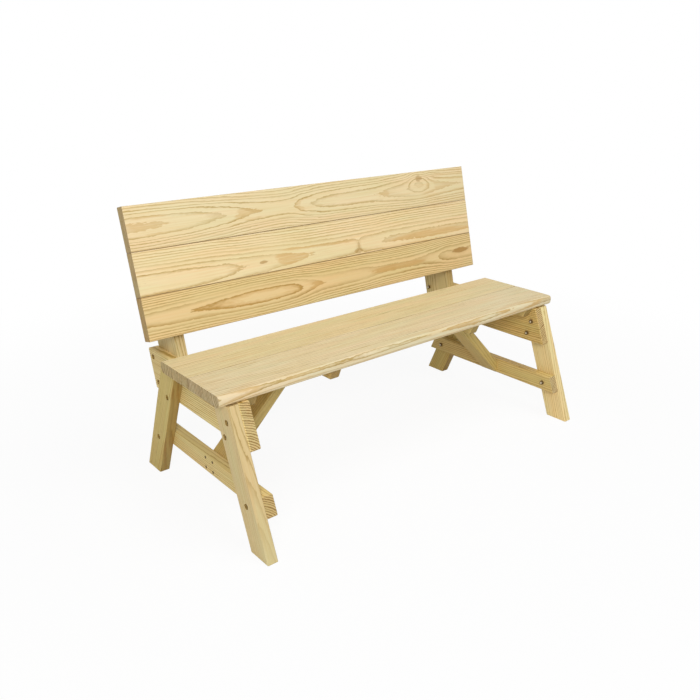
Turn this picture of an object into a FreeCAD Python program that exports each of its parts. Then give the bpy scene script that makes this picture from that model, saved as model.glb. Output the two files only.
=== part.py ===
import FreeCAD, Part
import os
import re
import Sketcher
from FreeCAD import Placement, Rotation, Vector

# A timber bench whose back swings over on its posts and becomes a table top.
# Millimetres and degrees. X runs along the bench, Y from front to rear, Z is up.
# The origin lies on the ground, midway between the ends and midway between front and rear.

os.makedirs("parts", exist_ok=True)
doc = FreeCAD.newDocument("convertible_picnic_table_bench")

# Driving dimensions. Setbacks run rearward from the toes of the front legs, heights up from the ground.
SIZES = {
    # Whole bench
    "bench_length": 1524,
    "end_overhang": 26,
    "foot_spread": 772.8,
    "frame_height": 442,
    "frame_thickness": 36,
    "edge_ease": 2,
    # Legs
    "leg_width": 84,
    "front_leg_lean": 21.3,
    "rear_leg_lean": 23.3,
    # Rails
    "upper_rail_width": 137,
    "upper_rail_corner": 5,
    "lower_rail_width": 61,
    "lower_rail_height": 118.6,
    "lower_rail_inset": 2.5,
    "lower_rail_tail": 6,
    # Braces
    "brace_width": 84,
    "brace_lead": 12.8,
    "brace_head_land": 7.4,
    # Seat
    "seat_front_inset": 0.5,
    "seat_back_gap": 41.65,
    "seat_board_gap": 0.5,
    "seat_thickness": 37,
    "seat_top_round": 12,
    "seat_bottom_round": 16,
    # Cleats under the seat
    "cleat_width": 36,
    "cleat_depth": 32,
    "cleat_bevel": 23,
    "cleat_inset": 14,
    "cross_cleat_inset": 388,
    # Back panel
    "recline": 14,
    "back_inset": 13.49,
    "back_height": 522.4,
    "back_board_width": 141.4,
    "back_board_gap": 0.2,
    "back_board_thickness": 38,
    "back_cleat_width": 84,
    "back_cleat_thickness": 32,
    "batten_thickness": 36,
    "batten_width": 84,
    "batten_inset": 12,
    "batten_bevel": 24,
    # Posts and pivot
    "post_width": 137,
    "table_underside": 722,
    "rest_gap": 0.2,
    "pivot_inset": 45,
    "corner_relief": 3,
    "side_gap": 2,
    "pivot_diameter": 12,
    "pivot_head_diameter": 26,
    "pivot_head_height": 7,
    "pivot_ring_diameter": 30,
    "pivot_fit": 0.06,
    # Lock pins
    "lock_radius": 38,
    "pin_diameter": 10,
    "pin_fit": 0.08,
    "pin_slack": 0.4,
    "pin_tip_setback": 1,
    "knob_diameter": 24,
    "knob_length": 16,
    "knob_rim": 7,
    "knob_neck_diameter": 16,
    # Bolts of the frame
    "bolt_diameter": 8,
    "bolt_head_diameter": 15,
    "bolt_head_height": 6,
    "bolt_slack": 0.2,
    "bolt_tip": 2,
    "counterbore_diameter": 18,
    "counterbore_depth": 11,
    "washer_diameter": 20,
    "washer_thickness": 1.6,
    "nut_width": 13,
    "nut_height": 6.5,
    "pivot_nut_width": 19,
    "pivot_nut_height": 10,
    "front_high_bolt_drop": 54,
    "front_high_bolt_shift": 12,
    "front_low_bolt_drop": 106,
    "front_low_bolt_shift": 24,
    "rear_bolt_drop": 110,
    "rear_bolt_shift": 20,
    "post_bolt_edge": 22,
    "post_bolt_end": 25,
    # Wood screws
    "screw_diameter": 5,
    "screw_head_diameter": 9.6,
    "screw_head_height": 2.4,
    "screw_slack": 0.1,
    "screw_counterbore": 11,
    "foot_screw_length": 45,
    "foot_screw_spread": 44,
    "foot_screw_rise": 36,
    "foot_screw_lift": 2,
    "brace_screw_length": 50,
    "brace_screw_cover": 30,
    "brace_screw_inset": 24,
    "cleat_screw_length": 55,
    "side_screw_length": 60,
    "side_screw_setback": 135,
    "side_screw_pitch": 130,
    "back_screw_length": 50,
    "batten_screw_length": 65,
    "batten_screw_cover": 40,
    "seat_screw_shift": 32,
    "back_screw_shift": 48,
}

# Sizes and places that follow from the driving ones.
WORKED = {
    "half_frame": "bench_length / 2 - end_overhang",
    "front_slope": "tan(front_leg_lean)",
    "rear_slope": "tan(rear_leg_lean)",
    "front_foot": "leg_width / cos(front_leg_lean)",
    "rear_foot": "leg_width / cos(rear_leg_lean)",
    "upper_rail_height": "frame_height - upper_rail_width",
    "lower_rail_top": "lower_rail_height + lower_rail_width",
    "lower_rail_middle": "lower_rail_height + lower_rail_width / 2",
    "post_setback": "foot_spread - frame_height * rear_slope - back_inset",
    "back_setback": "post_setback + (back_height - frame_height) * tan(recline)",
    "seat_setback": "frame_height * front_slope + seat_front_inset",
    "seat_rear": "post_setback - seat_back_gap",
    "seat_board_width": "(seat_rear - seat_setback - seat_board_gap) / 2",
    "seat_pitch": "seat_board_width + seat_board_gap",
    "cleat_setback": "seat_setback + cleat_inset",
    "brace_setback": "seat_setback + seat_pitch - brace_lead",
    "brace_reach": "cross_cleat_inset - 2 * frame_thickness",
    "brace_head": "frame_height - brace_head_land",
    "brace_slope": "(brace_head - lower_rail_height) / brace_reach",
    "brace_cut": "frame_thickness * sqrt(1 + brace_slope ^ 2)",
    "brace_middle": "brace_setback + brace_width / 2",
    "back_pitch": "back_board_width + back_board_gap",
    "back_width": "3 * back_board_width + 2 * back_board_gap",
    "post_rear": "back_board_thickness + post_width",
    "pivot_depth": "back_board_thickness + pivot_inset",
    "pivot_height": "table_underside - pivot_inset",
    "pivot_rise": "(pivot_height - back_height + pivot_depth * sin(recline)) / cos(recline)",
    "post_top": "table_underside - rest_gap",
    "post_top_rise": "(post_top - back_height + post_rear * sin(recline)) / cos(recline)",
    "post_top_rear": "back_setback + post_rear * cos(recline) + post_top_rise * sin(recline)",
    "overall_depth": "max(foot_spread; post_top_rear)",
    "swing": "90 - recline",
    "lock_offset": "lock_radius * sin(swing / 2)",
    "lock_drop": "lock_radius * cos(swing / 2)",
    "batten_rear": "back_board_thickness + batten_width",
    "batten_face": "3 * frame_thickness + side_gap",
    "lock_travel": "side_gap + batten_thickness",
    "bolt_grip": "2 * frame_thickness - counterbore_depth",
    "bolt_length": "bolt_grip + washer_thickness + nut_height + bolt_tip",
    "pivot_grip": "frame_thickness + side_gap + batten_thickness",
    "pivot_length": "pivot_grip + washer_thickness + pivot_nut_height + bolt_tip",
}

# Sides of the small round pieces and their holes. Few sides keep the many fasteners light.
ROUND = 0
HEAD_SIDES = 12
SHANK_SIDES = 8
SCREW_SIDES = 6
NUT_SIDES = 6

CELLS = {}


def written_out(formula):
    """Put each word of a formula that names a size as its spreadsheet cell."""
    return re.sub(r"[a-z_]+", lambda word: CELLS.get(word.group(), word.group()), formula)


def fill_sheet(label, cells, as_formulas):
    sheet = doc.addObject("Spreadsheet::Sheet", label)
    for row, (alias, content) in enumerate(cells.items(), start=1):
        sheet.set(f"A{row}", alias)
        sheet.set(f"B{row}", "=" + written_out(content) if as_formulas else str(content))
        sheet.setAlias(f"B{row}", alias)
        CELLS[alias] = f"{label}.{alias}"
    return sheet


sizes_sheet = fill_sheet("Sizes", SIZES, as_formulas=False)
worked_sheet = fill_sheet("Worked", WORKED, as_formulas=True)
doc.recompute()


def amount(formula):
    """The present value of a formula."""
    return float(sizes_sheet.evalExpression(written_out(formula)))


def bind(item, **formulas):
    """Tie properties to formulas. A double underscore stands for a dot."""
    for name, formula in formulas.items():
        item.setExpression(name.replace("__", "."), written_out(formula))


def place(item, x="0", y="0", z="0", axis=None, angle="0"):
    """Set an object down at a point, turned about an axis."""
    if axis:
        item.Placement = Placement(Vector(), Rotation(axis, amount(angle)))
        bind(item, Placement__Rotation__Angle=angle)
    bind(item, Placement__Base__x=x, Placement__Base__y=y, Placement__Base__z=z)


def new_body(label):
    body = doc.addObject("PartDesign::Body", label)
    body.Label = label
    return body


def sketch_on(body, role, offset="0"):
    """A sketch on one of the body's own origin planes, moved along its normal."""
    sketch = body.newObject("Sketcher::SketchObject", "Sketch")
    plane = next(item for item in body.Origin.OriginFeatures if item.Role == role)
    sketch.AttachmentSupport = [(plane, "")]
    sketch.MapMode = "FlatFace"
    bind(sketch, AttachmentOffset__Base__z=offset)
    return sketch


def dimension(sketch, formula, kind, *where):
    """Add a dimension to a sketch, driven by a formula."""
    index = sketch.addConstraint(Sketcher.Constraint(kind, *where, amount(formula)))
    bind(sketch, **{f"Constraints[{index}]": formula})


def fix_point(sketch, geometry, end, point):
    """Dimension a point of the sketch from its origin, along and up."""
    dimension(sketch, point[0], "DistanceX", -1, 1, geometry, end)
    dimension(sketch, point[1], "DistanceY", -1, 1, geometry, end)


def draw_outline(sketch, corners):
    """A closed outline of straight sides through dimensioned corners."""
    points = [Vector(amount(across), amount(up), 0) for across, up in corners]
    ends = zip(points, points[1:] + points[:1])
    lines = list(sketch.addGeometry([Part.LineSegment(*pair) for pair in ends], False))
    joins = zip(lines, lines[1:] + lines[:1])
    sketch.addConstraint([Sketcher.Constraint("Coincident", line, 2, other, 1) for line, other in joins])
    for line, corner in zip(lines, corners):
        fix_point(sketch, line, 1, corner)


def draw_circle(sketch, centre, diameter):
    middle = Vector(amount(centre[0]), amount(centre[1]), 0)
    circle = sketch.addGeometry(Part.Circle(middle, Vector(0, 0, 1), amount(diameter) / 2), False)
    fix_point(sketch, circle, 3, centre)
    dimension(sketch, diameter, "Diameter", circle)


def draw_round(sketch, centre, diameter, sides, turn="0"):
    """A circle, or a regular outline whose flat sides touch that circle, turned by an angle."""
    if sides == ROUND:
        draw_circle(sketch, centre, diameter)
        return
    across, up = centre
    reach = f"({diameter}) / 2 / cos({180 / sides})"
    angles = [f"({turn} + {(number + 0.5) * 360 / sides})" for number in range(sides)]
    corners = [(f"{across} + {reach} * cos{angle}", f"{up} + {reach} * sin{angle}") for angle in angles]
    draw_outline(sketch, corners)


def pad(body, sketch, length, reverse=False):
    feature = body.newObject("PartDesign::Pad", "Pad")
    feature.Profile = sketch
    feature.Reversed = reverse
    bind(feature, Length=length)
    doc.recompute()
    return feature


def drill(body, role, centres, diameter, depth=None, sides=SHANK_SIDES, turn="0",
          offset="0", inward=True):
    """Holes square to an origin plane, right through unless a depth is given.

    Inward drills along the plane's normal, otherwise against it.
    """
    before = body.Shape.Volume
    sketch = sketch_on(body, role, offset)
    for centre in centres:
        draw_round(sketch, centre, diameter, sides, turn)
    feature = body.newObject("PartDesign::Pocket", "Pocket")
    feature.Profile = sketch
    feature.Reversed = inward
    if depth:
        bind(feature, Length=depth)
    else:
        feature.Type = "ThroughAll"
    doc.recompute()
    if body.Shape.Volume > before - 1:
        raise ValueError(f"{body.Label}: a hole cuts nothing")


def dress_edges(body, kind, wanted, **size):
    """Put a fillet or chamfer on the straight edges that a test picks out."""
    base = body.Tip
    edges = enumerate(base.Shape.Edges, start=1)
    names = [f"Edge{number}" for number, edge in edges if isinstance(edge.Curve, Part.Line) and wanted(edge)]
    feature = body.newObject(f"PartDesign::{kind}", kind)
    feature.Base = (base, names)
    bind(feature, **size)
    doc.recompute()


def round_edges(body, radius, wanted):
    dress_edges(body, "Fillet", wanted, Radius=radius)


def ease_edges(body, wanted):
    """Plane the sharp arrises off."""
    dress_edges(body, "Chamfer", wanted, Size="edge_ease")


def runs_along(direction):
    """A test for edges parallel to a direction."""
    axis = Vector(*direction).normalize()
    return lambda edge: edge.tangentAt(edge.FirstParameter).cross(axis).Length < 1e-6


def stepped_piece(label, steps, role="YZ_Plane"):
    """A round piece built up in steps along an origin plane's normal.

    A step has its start, length, diameter and number of sides.
    """
    body = new_body(label)
    for start, length, diameter, sides in steps:
        sketch = sketch_on(body, role, start)
        draw_round(sketch, ("0", "0"), diameter, sides)
        pad(body, sketch, length)
    return body


SIDES = {"left": -1, "right": 1}
PAIR = (-1, 1)
TOUCH = 1
node_objects = {}


def keep(label, item):
    node_objects[label] = item
    return item


def mirrored(side, distance):
    """X of a point that lies a distance inboard of the frame's outer face."""
    return f"{SIDES[side]} * (half_frame - ({distance}))"


def layer_x(side, distance, thickness="frame_thickness"):
    """X where a timber starts that lies a distance inboard of the frame's outer face."""
    if side == "left":
        return f"-half_frame + {distance}"
    return f"half_frame - ({distance}) - {thickness}"


def outer_drilling(side, thickness="frame_thickness"):
    """Where a hole from the outer face starts in the timber's own frame, and which way it goes."""
    if side == "left":
        return {"offset": "0", "inward": True}
    return {"offset": thickness, "inward": False}


def inner_drilling(side, thickness="frame_thickness"):
    """The same for a hole from the inner face."""
    if side == "left":
        return {"offset": thickness, "inward": False}
    return {"offset": "0", "inward": True}


GROUND_Y = "-overall_depth / 2"


def front_leg_middle(height):
    return f"({height}) * front_slope + front_foot / 2"


def rear_leg_middle(height):
    return f"foot_spread - rear_foot / 2 - ({height}) * rear_slope"


def upright_y(depth, rise):
    """Setback of a point of the reclined back, from its depth behind the front face and its rise."""
    return f"back_setback + ({depth}) * cos(recline) + ({rise}) * sin(recline)"


def upright_z(depth, rise):
    """Height of a point of the reclined back."""
    return f"back_height - ({depth}) * sin(recline) + ({rise}) * cos(recline)"


def rise_at(height, depth):
    """Rise, along the reclined back, of the point at a height and a depth behind the front face."""
    return f"((({height}) - back_height + ({depth}) * sin(recline)) / cos(recline))"


# Bolt places on the sides of the frame, as setback and height.
FRONT_HIGH_HEIGHT = "frame_height - front_high_bolt_drop"
FRONT_LOW_HEIGHT = "frame_height - front_low_bolt_drop"
REAR_HEIGHT = "frame_height - rear_bolt_drop"
FRONT_RAIL_BOLTS = [
    (f"{front_leg_middle(FRONT_HIGH_HEIGHT)} - front_high_bolt_shift", FRONT_HIGH_HEIGHT),
    (f"{front_leg_middle(FRONT_LOW_HEIGHT)} + front_low_bolt_shift", FRONT_LOW_HEIGHT),
]
REAR_RAIL_BOLTS = [(f"{rear_leg_middle(REAR_HEIGHT)} - rear_bolt_shift", REAR_HEIGHT)]
FRONT_FOOT_BOLTS = [(front_leg_middle("lower_rail_middle"), "lower_rail_middle")]
REAR_FOOT_BOLTS = [(rear_leg_middle("lower_rail_middle"), "lower_rail_middle")]
LEG_BOLTS = FRONT_RAIL_BOLTS + REAR_RAIL_BOLTS + FRONT_FOOT_BOLTS + REAR_FOOT_BOLTS

# Post bolts, as depth behind the back's front face and rise along it, and then as setback and height.
POST_BOLT_DEPTH = "post_rear - post_bolt_edge"
POST_BOLT_HEIGHTS = ["frame_height - post_bolt_end", "upper_rail_height + post_bolt_end"]
POST_BOLTS_RECLINED = [(POST_BOLT_DEPTH, rise_at(height, POST_BOLT_DEPTH)) for height in POST_BOLT_HEIGHTS]
POST_BOLTS = [(upright_y(*spot), upright_z(*spot)) for spot in POST_BOLTS_RECLINED]

BOLT_HOLE = "bolt_diameter + 2 * bolt_slack"
PIVOT_BORE = "pivot_diameter + 2 * bolt_slack"


def screw_holes(body, role, centres, depth=None, **start):
    drill(body, role, centres, "screw_diameter + 2 * screw_slack", depth, SCREW_SIDES, **start)


def screw_recesses(body, role, centres, **start):
    """Recesses for screw heads, which end flush with the face."""
    recess = "screw_head_diameter + 2 * screw_slack"
    drill(body, role, centres, recess, "screw_head_height", SCREW_SIDES, **start)


def counterbore(body, centres, side):
    """Recesses for bolt heads, sunk from the outer face."""
    start = outer_drilling(side)
    drill(body, "YZ_Plane", centres, "counterbore_diameter", "counterbore_depth", HEAD_SIDES, **start)


def front_leg(side):
    body = keep(f"front_leg_{side}", new_body(f"front_leg_{side}"))
    sketch = sketch_on(body, "YZ_Plane")
    top_shift = "frame_height * front_slope"
    draw_outline(sketch, [
        ("0", "0"),
        ("front_foot", "0"),
        (f"front_foot + {top_shift}", "frame_height"),
        (top_shift, "frame_height"),
    ])
    pad(body, sketch, "frame_thickness")
    ease_edges(body, runs_along((0, amount("front_slope"), 1)))
    bolts = FRONT_RAIL_BOLTS + FRONT_FOOT_BOLTS
    drill(body, "YZ_Plane", bolts, BOLT_HOLE)
    counterbore(body, bolts, side)
    place(body, x=layer_x(side, "0"), y=GROUND_Y)


def rear_leg(side):
    body = keep(f"rear_leg_{side}", new_body(f"rear_leg_{side}"))
    sketch = sketch_on(body, "YZ_Plane")
    top_shift = "frame_height * rear_slope"
    draw_outline(sketch, [
        ("foot_spread - rear_foot", "0"),
        ("foot_spread", "0"),
        (f"foot_spread - {top_shift}", "frame_height"),
        (f"foot_spread - rear_foot - {top_shift}", "frame_height"),
    ])
    pad(body, sketch, "frame_thickness")
    ease_edges(body, runs_along((0, -amount("rear_slope"), 1)))
    bolts = REAR_RAIL_BOLTS + REAR_FOOT_BOLTS
    drill(body, "YZ_Plane", bolts, BOLT_HOLE)
    counterbore(body, bolts, side)
    place(body, x=layer_x(side, "0"), y=GROUND_Y)


# Side screws hold each end cleat to the upper rail beside it.
SIDE_SCREWS = [
    (f"cleat_setback + side_screw_setback + {step} * side_screw_pitch", "frame_height - cleat_depth / 2")
    for step in (0, 1)
]


def upper_rail(side):
    """Runs from the front leg's front face to the post's rear face, along the tops of the legs."""
    body = keep(f"upper_rail_{side}", new_body(f"upper_rail_{side}"))
    sketch = sketch_on(body, "YZ_Plane")
    draw_outline(sketch, [
        ("frame_height * front_slope", "frame_height"),
        ("upper_rail_height * front_slope", "upper_rail_height"),
        (upright_y("post_rear", rise_at("upper_rail_height", "post_rear")), "upper_rail_height"),
        (upright_y("post_rear", rise_at("frame_height", "post_rear")), "frame_height"),
    ])
    pad(body, sketch, "frame_thickness")

    def front_corner(edge):
        middle = edge.CenterOfMass
        lowest = middle.z < amount("upper_rail_height") + TOUCH
        foremost = middle.y < amount("upper_rail_height * front_slope") + TOUCH
        return lowest and foremost and runs_along((1, 0, 0))(edge)

    round_edges(body, "upper_rail_corner", front_corner)
    ease_edges(body, runs_along((0, 1, 0)))
    drill(body, "YZ_Plane", FRONT_RAIL_BOLTS + REAR_RAIL_BOLTS + POST_BOLTS, BOLT_HOLE)
    counterbore(body, POST_BOLTS, side)
    bite = "side_screw_length - cleat_width"
    screw_holes(body, "YZ_Plane", SIDE_SCREWS, bite, **inner_drilling(side))
    place(body, x=layer_x(side, "frame_thickness"), y=GROUND_Y)


FOOT_SCREW_HEIGHT = "lower_rail_middle + foot_screw_lift"
FOOT_SCREWS = [
    (f"brace_middle + {across} * foot_screw_spread / 2", f"{FOOT_SCREW_HEIGHT} + {up} * foot_screw_rise / 2")
    for across in PAIR for up in PAIR
]


def lower_rail(side):
    body = keep(f"lower_rail_{side}", new_body(f"lower_rail_{side}"))
    sketch = sketch_on(body, "YZ_Plane")
    draw_outline(sketch, [
        ("lower_rail_top * front_slope + lower_rail_inset", "lower_rail_top"),
        ("lower_rail_height * front_slope + lower_rail_inset", "lower_rail_height"),
        ("foot_spread + lower_rail_tail - lower_rail_height * rear_slope", "lower_rail_height"),
        ("foot_spread + lower_rail_tail - lower_rail_top * rear_slope", "lower_rail_top"),
    ])
    pad(body, sketch, "frame_thickness")
    ease_edges(body, runs_along((0, 1, 0)))
    drill(body, "YZ_Plane", FRONT_FOOT_BOLTS + REAR_FOOT_BOLTS, BOLT_HOLE)
    screw_holes(body, "YZ_Plane", FOOT_SCREWS)
    screw_recesses(body, "YZ_Plane", FOOT_SCREWS, **outer_drilling(side))
    place(body, x=layer_x(side, "frame_thickness"), y=GROUND_Y)


BRACE_SCREW_X = "cross_cleat_inset - brace_screw_inset"
BRACE_SCREWS_Y = [f"brace_middle + {across} * foot_screw_spread / 2" for across in PAIR]
BRACE_SCREW_HEAD = "frame_height - brace_screw_cover"


def brace(side):
    """Rises from the lower rail's inner face to the corner between the seat and its cross cleat."""
    body = keep(f"brace_{side}", new_body(f"brace_{side}"))
    sketch = sketch_on(body, "XZ_Plane")
    rise = "frame_height - lower_rail_height - brace_cut"
    outline = [
        ("2 * frame_thickness", "lower_rail_height"),
        ("cross_cleat_inset", "brace_head"),
        ("cross_cleat_inset", "frame_height"),
        (f"2 * frame_thickness + ({rise}) / brace_slope", "frame_height"),
        ("2 * frame_thickness", "lower_rail_height + brace_cut"),
    ]
    draw_outline(sketch, [(mirrored(side, across), up) for across, up in outline])
    pad(body, sketch, "brace_width", reverse=True)
    slope = amount("brace_slope")
    ease_edges(body, runs_along((-SIDES[side], 0, slope)))
    heads = [(mirrored(side, BRACE_SCREW_X), f"{spot} - brace_setback") for spot in BRACE_SCREWS_Y]
    screw_holes(body, "XY_Plane", heads)
    drill(body, "XY_Plane", heads, "screw_counterbore", BRACE_SCREW_HEAD, SCREW_SIDES)
    foot = [(f"{spot[0]} - brace_setback", spot[1]) for spot in FOOT_SCREWS]
    bite = "foot_screw_length - frame_thickness"
    start = {"offset": mirrored(side, "2 * frame_thickness"), "inward": side == "left"}
    screw_holes(body, "YZ_Plane", foot, bite, **start)
    place(body, y=f"{GROUND_Y} + brace_setback")


def back_post(side):
    """Stands on the upper rail, reclined. Its top is cut level to carry the table."""
    body = keep(f"back_post_{side}", new_body(f"back_post_{side}"))
    sketch = sketch_on(body, "YZ_Plane")
    edges = ("back_board_thickness", "post_rear")
    draw_outline(sketch, [
        (edges[0], rise_at("upper_rail_height", edges[0])),
        (edges[1], rise_at("upper_rail_height", edges[1])),
        (edges[1], rise_at("post_top", edges[1])),
        (edges[0], rise_at("post_top", edges[0])),
    ])
    pad(body, sketch, "frame_thickness")

    def top_front_corner(edge):
        middle = edge.CenterOfMass
        foremost = middle.y < amount("back_board_thickness") + TOUCH
        return foremost and middle.z > amount("pivot_rise") and runs_along((1, 0, 0))(edge)

    round_edges(body, "pivot_inset + corner_relief", top_front_corner)

    def rear_arris(edge):
        return edge.CenterOfMass.y > amount("post_rear") - TOUCH and runs_along((0, 0, 1))(edge)

    ease_edges(body, rear_arris)
    drill(body, "YZ_Plane", POST_BOLTS_RECLINED, BOLT_HOLE, turn="recline")
    drill(body, "YZ_Plane", [("pivot_depth", "pivot_rise")], PIVOT_BORE, sides=ROUND)
    lock = [("pivot_depth - lock_offset", "pivot_rise - lock_drop")]
    drill(body, "YZ_Plane", lock, "pin_diameter + 2 * pin_fit", sides=HEAD_SIDES, turn="recline")
    recline(body, layer_x(side, "2 * frame_thickness"))


def recline(body, x, rise="0"):
    """Lean a body back about the lower front edge of the back, raised along the slope."""
    place(
        body,
        x=x,
        y=f"{GROUND_Y} + {upright_y('0', rise)}",
        z=upright_z("0", rise),
        axis=Vector(1, 0, 0),
        angle="-recline",
    )


def cleat_outline(sketch, front, rear):
    """A cleat's side, with both ends undercut."""
    undercut = "cleat_depth * tan(cleat_bevel)"
    draw_outline(sketch, [
        (front, "frame_height"),
        (f"{front} + {undercut}", "frame_height - cleat_depth"),
        (f"{rear} - {undercut}", "frame_height - cleat_depth"),
        (rear, "frame_height"),
    ])


SEAT_SCREWS_Y = [
    f"seat_setback + {board} * seat_pitch + seat_board_width / 2 + {way} * seat_screw_shift"
    for board in (0, 1) for way in PAIR
]


def seat_cleat(label, side, distance, side_screws):
    body = keep(label, new_body(label))
    sketch = sketch_on(body, "YZ_Plane")
    cleat_outline(sketch, "cleat_setback", "seat_rear - cleat_inset")
    pad(body, sketch, "cleat_width")

    def lower_arris(edge):
        return edge.CenterOfMass.z < amount("frame_height") - TOUCH and runs_along((0, 1, 0))(edge)

    ease_edges(body, lower_arris)
    seat_screws = [("cleat_width / 2", spot) for spot in SEAT_SCREWS_Y]
    screw_holes(body, "XY_Plane", seat_screws)
    screw_recesses(body, "XY_Plane", seat_screws, offset="frame_height - cleat_depth")
    if side_screws:
        screw_holes(body, "YZ_Plane", SIDE_SCREWS)
        screw_recesses(body, "YZ_Plane", SIDE_SCREWS, **inner_drilling(side, "cleat_width"))
    place(body, x=layer_x(side, distance, "cleat_width"), y=GROUND_Y)


CLEAT_INSETS = {"end": "2 * frame_thickness", "cross": "cross_cleat_inset"}


def seat_screw_places(rows):
    """Along the seat and across it: where the cleats' screws enter the boards."""
    return [
        (f"bench_length / 2 + {mirrored(side, inset + ' + cleat_width / 2')}", row)
        for side in SIDES for inset in CLEAT_INSETS.values() for row in rows
    ]


def seat_board(label, order):
    """One of the two seat boards, rounded along the edge that the seat shows."""
    body = keep(label, new_body(label))
    sketch = sketch_on(body, "YZ_Plane")
    front = f"seat_setback + {order} * seat_pitch"
    top = "frame_height + seat_thickness"
    draw_outline(sketch, [
        (front, "frame_height"),
        (f"{front} + seat_board_width", "frame_height"),
        (f"{front} + seat_board_width", top),
        (front, top),
    ])
    pad(body, sketch, "bench_length")
    shown = amount("seat_setback" if order == 0 else "seat_rear")
    middle_height = amount("frame_height + seat_thickness / 2")

    def long_arris(at_shown, at_top):
        """A test for one long arris, by its side of the board and its level."""
        def wanted(edge):
            middle = edge.CenterOfMass
            on_side = (abs(middle.y - shown) < amount("seat_board_width / 2")) == at_shown
            on_level = (middle.z > middle_height) == at_top
            return on_side and on_level and runs_along((1, 0, 0))(edge)
        return wanted

    round_edges(body, "seat_top_round", long_arris(True, True))
    round_edges(body, "seat_bottom_round", long_arris(True, False))
    ease_edges(body, long_arris(False, True))
    rows = SEAT_SCREWS_Y[2 * order:2 * order + 2]
    bite = "cleat_screw_length - cleat_depth"
    screw_holes(body, "XY_Plane", seat_screw_places(rows), bite, offset="frame_height")
    if order == 1:
        spots = [
            (f"bench_length / 2 + {mirrored(side, BRACE_SCREW_X)}", spot)
            for side in SIDES for spot in BRACE_SCREWS_Y
        ]
        bite = "brace_screw_length - brace_screw_cover"
        screw_holes(body, "XY_Plane", spots, bite, offset="frame_height")
    place(body, x="-bench_length / 2", y=GROUND_Y)


def batten_middle(side):
    return mirrored(side, "batten_face + batten_thickness / 2")


def back_board(label, order):
    body = keep(label, new_body(label))
    sketch = sketch_on(body, "YZ_Plane")
    draw_outline(sketch, [
        ("0", "0"),
        ("back_board_thickness", "0"),
        ("back_board_thickness", "back_board_width"),
        ("0", "back_board_width"),
    ])
    pad(body, sketch, "bench_length")
    ease_edges(body, runs_along((1, 0, 0)))
    rows = [f"back_board_width / 2 + {way} * back_screw_shift" for way in PAIR]
    rear = "-back_board_thickness"
    battens = [(f"bench_length / 2 + {batten_middle(side)}", row) for side in SIDES for row in rows]
    bite = "batten_screw_length - batten_screw_cover"
    screw_holes(body, "XZ_Plane", battens, bite, offset=rear)
    cleat = [("bench_length / 2", row) for row in rows]
    bite = "back_screw_length - back_cleat_thickness"
    screw_holes(body, "XZ_Plane", cleat, bite, offset=rear)
    recline(body, "-bench_length / 2", rise=f"{order} * back_pitch")


BACK_SCREW_RISES = [
    f"{order} * back_pitch + back_board_width / 2 + {way} * back_screw_shift"
    for order in (0, 1, 2) for way in PAIR
]


def back_batten(side):
    """Stands on edge behind the boards and turns beside the post."""
    body = keep(f"back_batten_{side}", new_body(f"back_batten_{side}"))
    sketch = sketch_on(body, "YZ_Plane")
    front = "back_board_thickness"
    top = "back_width - batten_inset"
    draw_outline(sketch, [
        (front, "batten_inset"),
        ("batten_rear - batten_bevel", "batten_inset"),
        ("batten_rear", "batten_inset + batten_bevel"),
        ("batten_rear", f"{top} - batten_bevel"),
        ("batten_rear - batten_bevel", top),
        (front, top),
    ])
    pad(body, sketch, "batten_thickness")

    def rear_arris(edge):
        return edge.CenterOfMass.y > amount(front) + TOUCH and runs_along((0, 0, 1))(edge)

    ease_edges(body, rear_arris)
    drill(body, "YZ_Plane", [("pivot_depth", "pivot_rise")], "pivot_diameter + 2 * pivot_fit", sides=ROUND)
    locks = [(f"pivot_depth + {way} * lock_offset", "pivot_rise - lock_drop") for way in PAIR]
    drill(body, "YZ_Plane", locks, "pin_diameter + 2 * pin_slack", sides=HEAD_SIDES)
    screws = [("batten_thickness / 2", rise) for rise in BACK_SCREW_RISES]
    screw_holes(body, "XZ_Plane", screws, offset="-batten_rear")
    head = "-(back_board_thickness + batten_screw_cover)"
    drill(body, "XZ_Plane", screws, "screw_counterbore", sides=SCREW_SIDES, offset=head, inward=False)
    recline(body, layer_x(side, "batten_face", "batten_thickness"))


def back_cleat():
    """A flat cleat behind the middle of the boards."""
    body = keep("back_middle_cleat", new_body("back_middle_cleat"))
    sketch = sketch_on(body, "YZ_Plane")
    rear = "back_board_thickness + back_cleat_thickness"
    undercut = "back_cleat_thickness * tan(cleat_bevel)"
    top = "back_width - batten_inset"
    draw_outline(sketch, [
        ("back_board_thickness", "batten_inset"),
        (rear, f"batten_inset + {undercut}"),
        (rear, f"{top} - {undercut}"),
        ("back_board_thickness", top),
    ])
    pad(body, sketch, "back_cleat_width")

    def rear_arris(edge):
        return edge.CenterOfMass.y > amount(rear) - TOUCH and runs_along((0, 0, 1))(edge)

    ease_edges(body, rear_arris)
    screws = [("back_cleat_width / 2", rise) for rise in BACK_SCREW_RISES]
    screw_holes(body, "XZ_Plane", screws, offset=f"-({rear})")
    screw_recesses(body, "XZ_Plane", screws, offset=f"-({rear})")
    recline(body, "-back_cleat_width / 2")


for side in SIDES:
    front_leg(side)
    rear_leg(side)
    upper_rail(side)
    lower_rail(side)
    brace(side)
    back_post(side)
    back_batten(side)
    seat_cleat(f"seat_end_cleat_{side}", side, CLEAT_INSETS["end"], side_screws=True)
    seat_cleat(f"seat_cross_cleat_{side}", side, CLEAT_INSETS["cross"], side_screws=False)
for order, name in enumerate(("front", "rear")):
    seat_board(f"seat_board_{name}", order)
for order, name in enumerate(("bottom", "middle", "top")):
    back_board(f"back_board_{name}", order)
back_cleat()


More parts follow.
